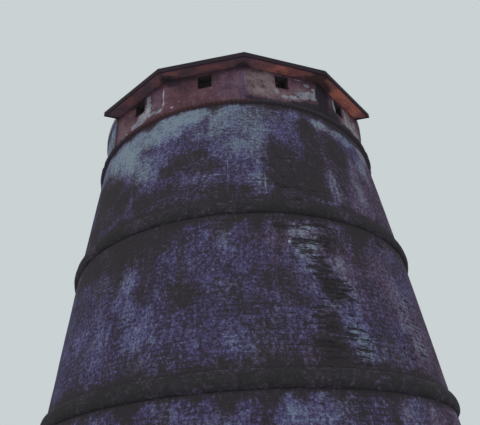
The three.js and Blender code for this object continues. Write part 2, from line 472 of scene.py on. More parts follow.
def course_damp_and_shade(points):
    """Darkening that creeps down and up the wall from the courses that stand proud of it: damp drips and
    splash, with painted shade under each course.
    """
    streak = np.clip(0.5 + lumps(points, DRIP_STREAKS), 0, 1.6)
    ragged = DAMP_RAGGED * rugged(points, DAMP_RAGGED_SIZE, 30, 3)
    field = np.zeros(points.shape[:-1])
    for course, (drip, splash) in DRIPPING.items():
        low, high = span_of(f"{course}_front")
        below = (low - points[..., 2]) / (drip * (DRIP_REACH + DRIP_EXTRA * streak ** 2))
        above = (points[..., 2] - high) / (splash * (SPLASH_REACH + SPLASH_EXTRA * streak))
        for reach in (below, above):
            field = np.maximum(field, np.where(reach >= 0, 1 - rise(reach + ragged, 0.2, 1.2), 0))
    return field


# Meshes and pieces

def mesh_from(bm, name):
    """The finished mesh of a bmesh, with its faces outwards."""
    bmesh.ops.recalc_face_normals(bm, faces=bm.faces[:])
    mesh = bpy.data.meshes.new(name)
    bm.to_mesh(mesh)
    bm.free()
    return mesh


def joined(meshes, name):
    """One mesh of several."""
    bm = bmesh.new()
    for mesh in meshes:
        bm.from_mesh(mesh)
        bpy.data.meshes.remove(mesh)
    whole = bpy.data.meshes.new(name)
    bm.to_mesh(whole)
    bm.free()
    return whole


def set_points(mesh, points):
    """Moves a mesh's vertices to new places."""
    mesh.vertices.foreach_set("co", points.astype(np.float32).ravel())
    mesh.update()


def store(mesh, name, *channels):
    """Keeps up to three values a vertex as a colour attribute that a material reads."""
    layer = mesh.color_attributes.new(name, "FLOAT_COLOR", "POINT")
    values = np.ones((len(mesh.vertices), 4), np.float32)
    for i, channel in enumerate(channels):
        values[:, i] = channel
    layer.data.foreach_set("color", values.ravel())


def object_for(mesh, name):
    """An object for a mesh whose vertices are already in place."""
    mesh.name = name
    mesh.shade_smooth()
    mesh.set_sharp_from_angle(angle=SMOOTH_ANGLE)
    made = bpy.data.objects.new(name, mesh)
    bpy.context.scene.collection.objects.link(made)
    return made


def dress(piece, material):
    """Gives a piece its one material."""
    piece.data.materials.clear()
    piece.data.materials.append(material)


def place(mesh, name, slot, material, *replaced):
    """Makes a piece, hangs it on the one fixed body and hides the CAD nodes it stands for."""
    piece = object_for(mesh, name)
    dress(piece, material)
    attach(piece, "root")
    if replaced:
        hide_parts(*replaced)


def spun(section, angle, steps):
    """A closed section of (radius, height) points turned about the tower's axis from the front."""
    bm = bmesh.new()
    corners = [bm.verts.new((0, -radius, height)) for radius, height in section]
    edges = [bm.edges.new(pair) for pair in zip(corners, corners[1:] + corners[:1])]
    full = angle >= TURN
    bmesh.ops.spin(
        bm,
        geom=corners + edges,
        cent=(0, 0, 0),
        axis=(0, 0, 1),
        dvec=(0, 0, 0),
        angle=angle,
        steps=steps,
        use_merge=full,
        use_duplicate=False,
    )
    if not full:
        ends = [edge for edge in bm.edges if edge.is_boundary]
        bmesh.ops.holes_fill(bm, edges=ends, sides=0)
    return bm


# Tower walls, brick by brick

def joint_lines(length, count):
    """Where the lines that draw joints and bricks lie along a length of count units.

    A unit has two lines at the joint before it, and two where its brick's face begins and ends.
    """
    unit = length / count
    places = []
    units = []
    on_joint = []
    for i in range(count):
        start = i * unit
        places += [
            max(0, start - JOINT_WIDTH / 2),
            start + JOINT_WIDTH / 2,
            start + JOINT_WIDTH / 2 + JOINT_CHAMFER,
            start + unit - JOINT_WIDTH / 2 - JOINT_CHAMFER,
        ]
        units += [i - 1, i, i, i]
        on_joint += [True, True, False, False]
    places += [length - JOINT_WIDTH / 2, length]
    units += [count - 1, count]
    on_joint += [True, True]
    return np.array(places), np.array(units), np.array(on_joint)


def bond(before, half, crossing, on_upright, course, on_bed):
    """Which brick each point of the grid is on, and 1 in a bed joint or a half in an upright one.

    Bricks are counted in halves, and every second course is shifted by one half. Before is how many
    halves come before this segment.
    """
    brick = (before + half + course) // 2
    upright = on_upright & ((before + crossing + course) % 2 == 0)
    return brick, np.where(on_bed, 1, np.where(upright, 0.5, 0))


def weathering(azimuth, surface, radius):
    """How damp, chalky and worn the wall is at each point, with painted shade under the courses and the
    ledge.
    """
    damp_and_shade, chalk, worn = (marked(patches, azimuth, surface, radius) for patches in (DAMP_AND_SHADE, CHALKY, WORN))
    return np.maximum(damp_and_shade, course_damp_and_shade(surface)), chalk, worn


def lost_faces(surface, worn, wears):
    """Where bricks have lost their face: in ragged level runs through the worn places."""
    loss = 0.7 * worn + 0.6 * (0.5 + lumps(surface, LOSS_RUNS)) + 0.3 * wears
    return rise(loss, 1.02, 1.22) * rise(worn, 0.1, 0.3)


def wall_relief(surface, joint, worn, lost, tone):
    """How far each point stands out from the smooth wall."""
    joint_depth = COATED_JOINT_DEPTH * (1 - worn) + WORN_JOINT_DEPTH * worn
    brick_depth = LOST_FACE_DEPTH * lost * (1 + tone)
    return lumps(surface, WALL_LUMPS) - np.where(joint > 0, joint_depth, brick_depth)


def wall_pieces(stem, middles, angle, span, outside, inside, seed, lid=None):
    """Segments of brick wall about given azimuths, with every brick and joint drawn in relief.

    The span is the lowest and highest point, and outside and inside are the radii at both. A lid
    says how high the wall reaches at a place, where its top isn't level.
    """
    low, high = span
    middle_radius = sum(outside) / 2
    arc = middle_radius * angle
    halves = 2 * round(arc / BRICK_LENGTH)
    course_count = round((high - low) / COURSE_HEIGHT)
    along, half, on_upright = joint_lines(arc, halves)
    up, course, on_bed = joint_lines(high - low, course_count)
    course, on_bed = course[:, None], on_bed[:, None]
    crossing = np.rint(along / arc * halves).astype(int)
    heights = low + up
    radii = np.interp(heights, span, outside)
    steps = len(along) - 1
    section = list(zip(radii, heights)) + [(inside[1], high), (inside[0], low)]
    blank = mesh_from(spun(section, angle, steps), stem)
    points = points_of(blank)
    turn, distance = polar(points)
    outer = distance >= (outside[1] + inside[0]) / 2
    column = np.rint(turn / angle * steps).astype(int)
    row = np.searchsorted((heights[1:] + heights[:-1]) / 2, points[:, 2])
    tones, wears = np.random.default_rng(seed).uniform(size=(2, course_count + 2, 2 * halves))
    for i, (side, middle) in enumerate(middles.items()):
        azimuth = along / middle_radius + middle - angle / 2
        surface = around(azimuth, radii[:, None], heights[:, None])
        damp_and_shade, chalk, worn = weathering(azimuth, surface, middle_radius)
        brick, joint = bond(i * halves, half, crossing, on_upright, course, on_bed)
        brick %= 2 * halves
        tone = tones[course, brick]
        lost = lost_faces(surface, worn, wears[course, brick])
        relief = wall_relief(surface, joint, worn, lost, tone)
        reach = np.where(outer, radii[row] + relief[row, column], distance)
        shaped = around(azimuth[column], reach, points[:, 2])
        if lid:
            shaped[:, 2] = low + (shaped[:, 2] - low) * (lid(shaped) - low) / (high - low)
        mesh = blank.copy()
        set_points(mesh, shaped)
        store(mesh, "weather", *(outer * field[row, column] for field in (damp_and_shade, chalk, worn)))
        store(mesh, "bond", outer * joint[row, column], outer * lost[row, column], tone[row, column])
        name = f"{stem}_brickwork_{side}"
        place(mesh, name, "limewashed_masonry", LIMEWASH, f"{stem}_wall_{side}")
    bpy.data.meshes.remove(blank)


def tier_walls():
    """The three tapering tiers, each in four segments."""
    middles = {side: i * QUARTER for i, side in enumerate(SIDES)}
    for seed, tier in enumerate(TIERS):
        first = f"{tier}_wall_front"
        span = span_of(first)
        outside, inside = zip(*(rim(first, height) for height in span))
        wall_pieces(tier, middles, QUARTER, span, outside, inside, seed)


# Round courses

def nose(low, high, foot, head, inside, projection, steps):
    """Section of a course with a rounded nose."""
    section = []
    for i in range(steps + 1):
        angle = math.pi * (i / steps - 0.5)
        share = (1 + math.sin(angle)) / 2
        radius = foot + (head - foot) * share + projection * math.cos(angle)
        section.append((radius, low + (high - low) * share))
    return section + [(inside, high), (inside, low)]


def round_course(node, slot, material, places, joints, nose_steps, dents):
    """A whole ring with an uneven, weathered nose, which stands for its four CAD quarters.

    The places are shares of the turn at which the ring has corners, and joints says which of them
    lie in a joint.
    """
    quarters = [f"{node}_{side}" for side in SIDES]
    low, high = span_of(quarters[0])
    (foot, inside), (head, _) = rim(quarters[0], low), rim(quarters[0], high)
    back = (foot + head) / 2
    projection = radii_of(quarters[0]).max() - back
    steps = len(places)
    name = f"{node}_ring"
    mesh = mesh_from(spun(nose(low, high, foot, head, inside, projection, nose_steps), TURN, steps), name)
    points = points_of(mesh)
    turn, radius = polar(points)
    column = np.rint(turn / TURN * steps).astype(int) % steps
    azimuth = TURN * places[column]
    surface = around(azimuth, radius, points[:, 2])
    proud = rise((radius - back) / projection, 0.05, 0.9)
    chips = rise(lumps(surface, NOSE_CHIPS), 0.45, 0.75)
    dent = 0.35 + lumps(surface, NOSE_DENTS) + 1.2 * chips
    joint = joints[column] * proud
    radius -= proud * dents * np.clip(dent, 0, 2) + LEDGE_JOINT_DEPTH * joint
    set_points(mesh, around(azimuth, radius, points[:, 2]))
    store(mesh, "weather", chips * proud, joint, proud)
    place(mesh, name, slot, material, *quarters)


def rolls():
    """The smooth rendered rolls."""
    places = np.arange(ROLL_STEPS) / ROLL_STEPS
    joints = np.zeros(ROLL_STEPS)
    for roll in ROLLS:
        round_course(roll, "stained_roll", STAINED_RENDER, places, joints, ROLL_NOSE_STEPS, ROLL_DENTS)


def ledge():
    """The thin ledge of bricks laid on edge."""
    length = TURN * radii_of("ledge_front").max()
    lines, _, on_joint = joint_lines(length, round(length / LEDGE_BRICK_WIDTH))
    places, joints = lines[1:-1] / length, on_joint[1:-1]
    round_course("ledge", "ledge_brick", LEDGE_BRICK, places, joints, LEDGE_NOSE_STEPS, LEDGE_DENTS)


# The head

Mark = collections.namedtuple("Mark", "face across height half_width half_height strength")

# Marked places on the bays' faces, in metres right of a face's middle and above ground. In these the
# paint and plaster have come off.
PEELED = [
    Mark(1, 0.30, 10.68, 0.11, 0.32, 1.0),
    Mark(1, -0.14, 10.28, 0.16, 0.10, 1.0),
    Mark(1, 0.12, 10.36, 0.22, 0.14, 1.1),
    Mark(1, 0.44, 10.28, 0.18, 0.08, 1.0),
    Mark(1, 0.68, 10.21, 0.14, 0.06, 0.9),
    Mark(1, 0.86, 10.55, 0.04, 0.36, 0.8),
    Mark(1, -0.46, 10.20, 0.10, 0.05, 0.8),
    Mark(1, -0.45, 10.80, 0.10, 0.12, 0.5),
    Mark(2, -0.62, 10.29, 0.05, 0.04, 1.0),
    Mark(2, -0.78, 10.13, 0.07, 0.03, 0.8),
    Mark(2, 0.10, 10.02, 0.60, 0.02, 0.5),
    Mark(3, -0.15, 10.42, 0.05, 0.10, 0.8),
    Mark(3, 0.00, 10.30, 0.12, 0.05, 0.8),
    Mark(3, 0.70, 10.86, 0.14, 0.06, 0.9),
    Mark(3, 0.84, 10.74, 0.07, 0.08, 0.9),
    Mark(3, 0.30, 10.36, 0.14, 0.05, 0.9),
    Mark(3, 0.56, 10.46, 0.20, 0.11, 1.25),
    Mark(3, 0.78, 10.50, 0.14, 0.15, 1.25),
    Mark(3, 0.35, 10.97, 0.25, 0.02, 0.8),
    Mark(4, -0.22, 10.72, 0.05, 0.30, 1.0),
    Mark(4, 0.30, 10.62, 0.05, 0.30, 1.0),
    Mark(4, 0.60, 10.60, 0.14, 0.18, 0.9),
    Mark(4, 0.72, 10.28, 0.12, 0.14, 0.8),
]
# Where the paint has gone chalky and pale
FADED = [
    Mark(1, 0.15, 10.30, 0.60, 0.20, 0.5),
    Mark(1, -0.60, 10.40, 0.25, 0.40, 0.3),
    Mark(3, -0.58, 10.62, 0.38, 0.36, 1.0),
    Mark(3, -0.35, 10.32, 0.50, 0.20, 0.8),
    Mark(3, 0.35, 10.22, 0.50, 0.10, 0.6),
    Mark(3, 0.60, 10.52, 0.25, 0.12, 0.5),
    Mark(4, 0.50, 10.50, 0.32, 0.40, 1.0),
]
# Where it has turned violet
VIOLET = [
    Mark(1, 0.60, 10.70, 0.20, 0.40, 0.6),
    Mark(2, 0.55, 10.50, 0.30, 0.50, 0.6),
    Mark(2, 0.90, 10.50, 0.14, 0.60, 1.0),
    Mark(3, -0.93, 10.50, 0.07, 0.60, 0.8),
    Mark(3, 0.60, 10.60, 0.40, 0.30, 0.4),
    Mark(4, 0.00, 10.50, 0.40, 0.50, 0.7),
]
# Where it is dark with soot and damp, and with painted shade: the marks just under the eaves, and those over
# face 4 and the corner of face 3 beside it, are painted shade
SOOT_AND_SHADE_MARKS = [
    Mark(1, -0.90, 10.40, 0.10, 0.60, 0.5),
    Mark(1, -0.08, 10.94, 0.32, 0.11, 0.8),
    Mark(2, -0.85, 10.94, 0.26, 0.14, 0.8),
    Mark(2, -0.40, 10.96, 0.25, 0.10, 0.7),
    Mark(2, -0.25, 10.75, 0.12, 0.22, 0.4),
    Mark(3, 0.95, 10.60, 0.08, 0.60, 1.2),
    Mark(3, 0.36, 10.08, 0.40, 0.17, 1.0),
    Mark(3, 0.74, 10.11, 0.28, 0.24, 1.0),
    Mark(3, -0.30, 10.04, 0.70, 0.11, 1.0),
    Mark(4, -0.70, 10.50, 0.32, 0.80, 1.2),
    Mark(4, -0.35, 10.15, 0.40, 0.32, 1.0),
    Mark(4, 0.25, 10.08, 0.60, 0.24, 1.0),
]
HIDDEN_FACES = range(5, 9)
HIDDEN_ACROSS = (-0.8, 0.8)
HIDDEN_HEIGHTS = (10.0, 10.95)
HIDDEN_STRENGTHS = (0.6, 1.0)


def hidden_marks(per_face, half_widths, half_heights, seed):
    """Random marks on the faces that the photograph doesn't show."""
    random = np.random.default_rng(seed)
    ranges = (HIDDEN_ACROSS, HIDDEN_HEIGHTS, half_widths, half_heights, HIDDEN_STRENGTHS)
    return [Mark(face, *row) for face in HIDDEN_FACES for row in drawn(random, per_face, *ranges)]


PEELED += hidden_marks(4, (0.06, 0.30), (0.05, 0.20), 31)
FADED += hidden_marks(2, (0.30, 0.60), (0.20, 0.45), 32)
VIOLET += hidden_marks(1, (0.20, 0.60), (0.30, 0.60), 34)
SOOT_AND_SHADE_MARKS += hidden_marks(2, (0.15, 0.50), (0.30, 0.60), 33)


def face_field(marks, face, panel, ragged):
    """How strongly a face's marks show at each point of the panel, from 0 to 1."""
    field = np.zeros(len(panel))
    for mark in marks:
        if mark.face == face:
            across = panel[:, 0] - mark.across
            upward = panel[:, 2] - mark.height
            field = np.maximum(field, shown(mark, across, upward, ragged))
    return field


def cut_lines(*stops):
    """Lines about a plaster cell apart between the first stop and the last, with the other stops."""
    lines = []
    for start, stop in zip(stops, stops[1:]):
        count = max(1, round((stop - start) / PLASTER_CELL))
        lines += list(np.linspace(start, stop, count + 1)[1:])
    return lines[:-1]


def in_window(face):
    """Whether a face of the panel lies in its window."""
    middle = face.calc_center_median()
    return abs(middle.x) < WINDOW_WIDTH / 2 and WINDOW_SILL < middle.z < LINTEL


def grown(bm, faces):
    """Extrudes faces, and returns the corners of the new ones, which haven't moved yet."""
    made = bmesh.ops.extrude_face_region(bm, geom=faces, use_keep_orig=True)["geom"]
    return [item for item in made if isinstance(item, bmesh.types.BMVert)]


def blank_panel():
    """One of the bays' walls standing at the front, as a plain panel with its window cut through."""
    top = underside(HEAD_OUTER) - SEAM
    outline = [(-HALF_FACE, HEAD_FOOT), (HALF_FACE, HEAD_FOOT), (HALF_FACE, top), (-HALF_FACE, top)]
    bm = bmesh.new()
    bm.faces.new([bm.verts.new((x, -HEAD_OUTER * FACE_RATIO, z)) for x, z in outline])
    xs = cut_lines(-HALF_FACE, -WINDOW_WIDTH / 2, WINDOW_WIDTH / 2, HALF_FACE)
    zs = cut_lines(HEAD_FOOT, WINDOW_SILL, LINTEL, top)
    for places, normal in ((xs, Vector((1, 0, 0))), (zs, Vector((0, 0, 1)))):
        for offset in places:
            everything = bm.verts[:] + bm.edges[:] + bm.faces[:]
            bmesh.ops.bisect_plane(bm, geom=everything, plane_co=normal * offset, plane_no=normal)
    window = [face for face in bm.faces if in_window(face)]
    bmesh.ops.delete(bm, geom=window, context="FACES")
    back = grown(bm, bm.faces[:])
    bmesh.ops.translate(bm, verts=back, vec=(0, HEAD_THICKNESS, 0))
    for vert in back:
        if abs(vert.co.x) > HALF_FACE - SEAM:
            vert.co.x = math.copysign(HALF_FACE * HEAD_INNER / HEAD_OUTER, vert.co.x)
        if vert.co.z > top - SEAM:
            vert.co.z = underside(HEAD_INNER) - SEAM
    return mesh_from(bm, "blank_panel")


def head_walls():
    """The bays' flat faces: copies of one panel, each with its own unevenness and marks."""
    blank = blank_panel()
    panel = points_of(blank)
    front = panel[:, 1] < panel[:, 1].min() + HEAD_THICKNESS / 2
    from_edge = HALF_FACE - abs(panel[:, 0])
    above_foot = panel[:, 2] - panel[:, 2].min()
    below_top = panel[:, 2].max() - panel[:, 2]
    beside_window = abs(panel[:, 0]) - WINDOW_WIDTH / 2
    beyond_window = abs(panel[:, 2] - WINDOW_SILL - WINDOW_HEIGHT / 2) - WINDOW_HEIGHT / 2
    from_window = np.maximum(beside_window, beyond_window)
    steady = rise(from_edge, 0, 0.12) * rise(below_top, 0, 0.12) * rise(above_foot, 0, 0.05)
    under_soffit = 1 - rise(below_top, 0.08, 0.34)
    near_edge = 1 - rise(from_edge, 0, 0.28)
    window_edge = 1 - rise(from_window, 0, 0.02)
    # Painted shade in the window reveals, fading over two centimetres onto the inside
    reveal_shade = 1 - rise(from_window, 0.001, 0.02)
    azimuths = [middle + turn for middle in BAYS.values() for turn in FACE_TURNS]
    for face, azimuth in enumerate(azimuths, 1):
        rotation = np.array(Matrix.Rotation(azimuth, 3, "Z"))
        points = panel @ rotation.T
        ragged = PAINT_RAGGED * rugged(points, PAINT_RAGGED_SIZE, 12)
        peel, faded, soot_and_shade, violet = (
            face_field(marks, face, panel, ragged) for marks in (PEELED, FADED, SOOT_AND_SHADE_MARKS, VIOLET)
        )
        relief = steady * (lumps(points, PLASTER_LUMPS) - PEEL_DEPTH * rise(peel, 0.45, 0.6))
        chipped = CHIP_DEPTH * window_edge * rise(lumps(points, WINDOW_CHIPS), 0.2, 0.7)
        shaped = panel.copy()
        shaped[:, 1] += np.where(front, chipped - relief, 0)
        # Painted shade under the soffit, darkest towards the face's corners, with a little random cloudiness
        shade_and_stain = 0.30 * under_soffit + 0.4 * near_edge * under_soffit + 0.15 * hills(points, 0.25, 17)
        mesh = blank.copy()
        set_points(mesh, shaped @ rotation.T)
        store(mesh, "weather", np.clip(np.maximum(shade_and_stain, soot_and_shade), 0, 1.2), front * peel, faded)
        store(mesh, "side", front, violet, reveal_shade)
        place(mesh, f"head_plaster_{face}", "red_paint", MAROON_PAINT, f"head_wall_{face}")
    bpy.data.meshes.remove(blank)


def flank_walls():
    """The plain brick walls between the bays, which reach up to the sloping roof."""
    foot = span_of("flank_wall_right")[0]
    outer, inner = rim("flank_wall_right", foot)
    span = (foot, underside(outer))
    wall_pieces("flank", FLANKS, FLANK_ANGLE, span, (outer, outer), (inner, inner), 7, pitched)


# The roof

def roof_sector(section, middle, angle, reach=math.inf):
    """Part of the roof, from a section of (corner radius, height above the underside) points.

    Past the reach from the axis its plan is round.
    """
    mesh = mesh_from(spun(section, angle, round(angle / FACE_ANGLE) * STEPS_PER_FACE), "roof_sector")
    points = points_of(mesh)
    turn, corner = polar(points)
    azimuth = turn + middle - angle / 2
    radius = np.minimum(corner * FACE_RATIO / np.cos(from_face_middle(azimuth)), reach)
    placed = around(azimuth, radius, points[:, 2])
    placed[:, 2] += pitched(placed)
    set_points(mesh, placed)
    return mesh


def roof_layer(section, bay_edge, flank_reach, name):
    """A layer of the whole roof. The section is a function of the edge's corner radius."""
    bay, flank = section(bay_edge), section(flank_reach / FACE_RATIO + SEAM)
    sectors = [roof_sector(bay, middle, BAY_ANGLE) for middle in BAYS.values()]
    sectors += [roof_sector(flank, middle, FLANK_ANGLE, flank_reach) for middle in FLANKS.values()]
    return joined(sectors, name)


def deck_section(edge):
    """The deck, with grooves between the soffit's boards where it reaches well past the wall."""
    section = [(AXIS_HOLE, 0), (HEAD_INNER + 0.01, 0)]
    if edge > HEAD_OUTER + WIDE_SOFFIT:
        for i in range(SOFFIT_BOARDS):
            groove = HEAD_OUTER + FIRST_GROOVE + i * (edge - HEAD_OUTER) / SOFFIT_BOARDS
            near, far = groove - GROOVE_WIDTH / 2, groove + GROOVE_WIDTH / 2
            section += [(near, 0), (groove, GROOVE_DEPTH), (far, 0)]
    return section + [(edge, 0), (edge, COVERING_BASE), (AXIS_HOLE, COVERING_BASE)]


def soffit_weather(points, azimuth, from_wall):
    """How dark, sunlit and streaked the soffit is at each point: painted shade at the wall and along the
    hips, darkest at one hip, and a painted pool of sunlight.
    """
    # Painted shade in the corner where the soffit meets the wall, and in the creases along the hips
    near_wall = 1 - rise(from_wall, 0.05, 0.20)
    near_hip = rise(abs(from_face_middle(azimuth)) / (FACE_ANGLE / 2), 0.70, 1)
    darkest_hip = rise(np.cos(azimuth - DARKEST_HIP_AZIMUTH), 0.985, 0.999)
    ragged = rugged(points, 0.30, 19)
    shade_and_stain = 0.45 * near_wall + 0.65 * near_hip + 0.9 * darkest_hip + 0.5 * ragged
    # A pool of sunlight painted on the soffit towards the front right
    to_sunlight = np.cos(azimuth - SUNLIT_AZIMUTH)
    sunlight = np.maximum(rise(to_sunlight, 0.93, 0.99), 0.75 * rise(to_sunlight, 0.70, 0.86))
    in_front = rise(np.cos(azimuth), 0.45, 0.55)
    streak = rise(1 - abs(from_wall - STREAK_LINE) / STREAK_HALF_WIDTH + 0.5 * ragged, 0.3, 1.0)
    return np.clip(shade_and_stain, 0, 1.2), sunlight * in_front, streak


def roof_deck():
    """The boarded deck, whose underside is the soffit and sags a little outside the walls."""
    mesh = roof_layer(deck_section, DECK_EDGE, LIP_RADIUS, "roof_boards")
    points = points_of(mesh)
    azimuth, radius = polar(points)
    soffit = points[:, 2] - pitched(points) < COVERING_BASE / 2
    outside = rise(radius - SOFFIT_START, -0.03, 0.07)
    points[:, 2] += np.where(soffit, outside * lumps(points, SOFFIT_SAG), 0)
    set_points(mesh, points)
    from_wall = radius * np.cos(from_face_middle(azimuth)) - SOFFIT_START
    in_room = 1 - rise(from_wall, -0.20, -0.10)
    on_flank = rise(0.5 - abs(np.cos(azimuth)), 0, 0.01)
    store(mesh, "weather", *soffit_weather(points, azimuth, from_wall))
    store(mesh, "side", in_room, on_flank)
    place(mesh, "roof_boards", "roof_boarding", SOFFIT_PAINT, "roof_deck")


def covering_section(edge):
    """Felt laid in strips round the roof, each lapped over the one below."""
    laps = list(np.linspace(EAVES_EDGE, AXIS_HOLE, COVERING_LAPS + 1))
    laps[0] = edge
    section = []
    for outer, inner in zip(laps, laps[1:]):
        section.append((outer, COVERING_BASE + COVERING_THICKNESS))
        section.append((inner, COVERING_BASE + COVERING_THICKNESS / 4))
    return section + [(AXIS_HOLE, COVERING_BASE), (edge, COVERING_BASE)]


def covering():
    """The felt, with dust in streaks down the slope and each strip in its own tone."""
    mesh = roof_layer(covering_section, EAVES_EDGE, LIP_RADIUS + COVERING_OVERHANG, "roof_covering")
    points = points_of(mesh)
    points[:, 2] += lumps(points, FELT_RIPPLE)
    set_points(mesh, points)
    azimuth, radius = polar(points)
    down_slope = np.stack([azimuth * 12, radius * 0.4, np.zeros(len(radius))], axis=-1)
    dust = rise(0.5 + 0.5 * rugged(down_slope, 1.0, 35, 3), 0.3, 0.9)
    corner = radius * np.cos(from_face_middle(azimuth)) / FACE_RATIO
    lap = np.floor((EAVES_EDGE - corner) / (EAVES_EDGE / COVERING_LAPS) + 0.5)
    strip = 3 * lap + np.floor(azimuth / FACE_ANGLE)
    tone = 0.5 + 0.5 * np.sin(strip * TONE_SCATTER)
    store(mesh, "weather", dust, tone)
    place(mesh, "roof_covering", "dark_fascia", ROOF_FELT)


def hip_arch(bm, start):
    """The half-round lower end of a hip cap at a corner radius: its corners and its face."""
    foot = Vector((0, -start, underside(start) + COVERING_BASE))
    arch = []
    for i in range(HIP_STEPS + 1):
        angle = math.pi * i / HIP_STEPS
        rib = Vector((HIP_HALF_WIDTH * math.cos(angle), 0, HIP_HEIGHT * math.sin(angle)))
        arch.append(bm.verts.new(foot + rib))
    edges = [bm.edges.new(pair) for pair in zip(arch, arch[1:] + arch[:1])]
    return arch, bmesh.ops.contextual_create(bm, geom=edges)["faces"]


def hip_caps():
    """Half-round caps over the twelve hips, from the edge of the roof up to its point."""
    bm = bmesh.new()
    for i in range(HEAD_SIDES):
        azimuth = i * FACE_ANGLE
        from_bay = min(abs(wrapped(azimuth - middle)) for middle in BAYS.values())
        edge = EAVES_EDGE if from_bay < BAY_ANGLE / 2 - SEAM else LIP_RADIUS
        start = edge - HIP_HALF_WIDTH
        length = start - CAP_RADIUS / 2
        near, end = hip_arch(bm, start)
        far = grown(bm, end)
        bmesh.ops.translate(bm, verts=far, vec=(0, length, length * FALL))
        bmesh.ops.rotate(bm, verts=near + far, cent=(0, 0, 0), matrix=Matrix.Rotation(azimuth, 3, "Z"))
    place(mesh_from(bm, "hip_caps"), "hip_caps", "dark_fascia", ROOF_FELT)


def roof_cap():
    """The small cap over the roof's point."""
    section = [
        (AXIS_HOLE / 4, DECK_THICKNESS),
        (CAP_RADIUS, COVERING_BASE + HIP_HEIGHT - CAP_SUNK),
        (CAP_RADIUS, COVERING_BASE),
        (AXIS_HOLE / 4, COVERING_BASE),
    ]
    mesh = joined([roof_sector(section, middle, TURN / 2) for middle in BAYS.values()], "roof_cap")
    place(mesh, "roof_cap", "dark_fascia", ROOF_FELT)


def return_board(azimuth, towards):
    """The board from the eaves' end to the wall, inside the bay's end."""
    wall = radii_of("fascia_front").min()
    size = (FASCIA_THICKNESS, BOARD_INSIDE - wall, FASCIA_DROP + COVERING_BASE)
    middle = (towards * FASCIA_THICKNESS / 2, -(BOARD_INSIDE + wall) / 2, (COVERING_BASE - FASCIA_DROP) / 2)
    bm = bmesh.new()
    corners = bmesh.ops.create_cube(bm, size=1)["verts"]
    bmesh.ops.scale(bm, verts=corners, vec=size)
    bmesh.ops.translate(bm, verts=corners, vec=middle)
    bmesh.ops.bevel(bm, geom=bm.edges[:], offset=ARRIS, segments=1, profile=0.5, affect="EDGES", material=-1)
    bmesh.ops.rotate(bm, verts=bm.verts[:], cent=(0, 0, 0), matrix=Matrix.Rotation(azimuth, 3, "Z"))
    mesh = mesh_from(bm, "return_board")
    points = points_of(mesh)
    points[:, 2] += pitched(points)
    set_points(mesh, points)
    return mesh


def fascias():
    """The board round each bay's eaves and its returns, a little uneven along the lower edge."""
    section = [
        (EAVES_EDGE - ARRIS, -FASCIA_DROP),
        (EAVES_EDGE, ARRIS - FASCIA_DROP),
        (EAVES_EDGE, COVERING_BASE),
        (BOARD_INSIDE, COVERING_BASE),
        (BOARD_INSIDE, -FASCIA_DROP),
    ]
    for side, middle in BAYS.items():
        name = f"eaves_board_{side}"
        boards = [roof_sector(section, middle, BAY_ANGLE)]
        boards += [return_board(middle - towards * BAY_ANGLE / 2, towards) for towards in (1, -1)]
        mesh = joined(boards, name)
        points = points_of(mesh)
        lower_edge = points[:, 2] < pitched(points) + 0.02
        points[:, 2] += np.where(lower_edge, lumps(points, FASCIA_WAVE), 0)
        set_points(mesh, points)
        place(mesh, name, "dark_fascia", FASCIA_PAINT, f"fascia_{side}")


# Materials

def colour(red, green, blue):
    """A colour from its 0 to 255 values on screen, as the linear values that Blender mixes."""
    shares = (value / 255 for value in (red, green, blue))
    linear = [s / 12.92 if s <= 0.04045 else ((s + 0.055) / 1.055) ** 2.4 for s in shares]
    return (*linear, 1)


# The limewash by its lightness, from damp and dark to chalky and pale: the place of each colour, and
# its red, green and blue
VIOLET_LIME = (
    (0.10, 51, 48, 49),
    (0.28, 55, 50, 58),
    (0.42, 64, 57, 81),
    (0.54, 75, 69, 101),
    (0.68, 89, 88, 121),
    (0.84, 105, 113, 134),
    (1.00, 116, 129, 145),
)
BROWN_LIME = (
    (0.10, 51, 48, 50),
    (0.28, 57, 51, 58),
    (0.42, 66, 59, 70),
    (0.60, 82, 77, 92),
    (1.00, 118, 124, 134),
)
GREY_LIME = (
    (0.10, 51, 48, 48),
    (0.28, 56, 51, 55),
    (0.42, 66, 61, 72),
    (0.54, 77, 74, 91),
    (0.68, 90, 92, 110),
    (0.84, 105, 116, 129),
    (1.00, 118, 132, 142),
)
# Plum, mixed in towards the right: painted warm light on the right side
WARM_LIT_LIME = (
    (0.10, 52, 48, 50),
    (0.28, 58, 50, 59),
    (0.42, 70, 57, 75),
    (0.54, 83, 69, 92),
    (0.68, 95, 87, 108),
    (0.84, 108, 112, 126),
    (1.00, 118, 130, 141),
)
BRIGHT_LIME = colour(170, 172, 176)
BARE_BRICK = colour(48, 45, 47)

# The other courses
RENDER = ((0.25, 46, 45, 46), (0.45, 52, 49, 51), (0.60, 62, 56, 66), (0.85, 88, 80, 100))
DARK_BRICK = colour(68, 50, 55)
RED_BRICK = colour(100, 69, 70)
BRICK_SOOT = colour(65, 60, 65)
BRICK_DUST = colour(92, 82, 90)
LEDGE_JOINT = colour(44, 41, 44)

# The head's faces, outside and in
MAROON = ((0.20, 62, 46, 53), (0.42, 82, 58, 66), (0.60, 96, 67, 75), (0.85, 120, 92, 100))
BLUISH_MAROON = ((0.20, 58, 48, 62), (0.50, 84, 68, 86), (0.85, 110, 94, 112))
PLASTER = ((0.20, 92, 88, 98), (0.45, 122, 121, 130), (0.80, 158, 160, 166))
CHALKY_MAROON = colour(138, 125, 128)
# Soot, and painted shade under the eaves and over face 4
THIN_SOOT_AND_SHADE = colour(50, 46, 54)
THICK_SOOT_AND_SHADE = colour(38, 35, 42)
ROOM_WHITE = colour(206, 200, 198)
# Painted shade in the window reveals
REVEAL_SHADE_GREY = colour(66, 60, 62)

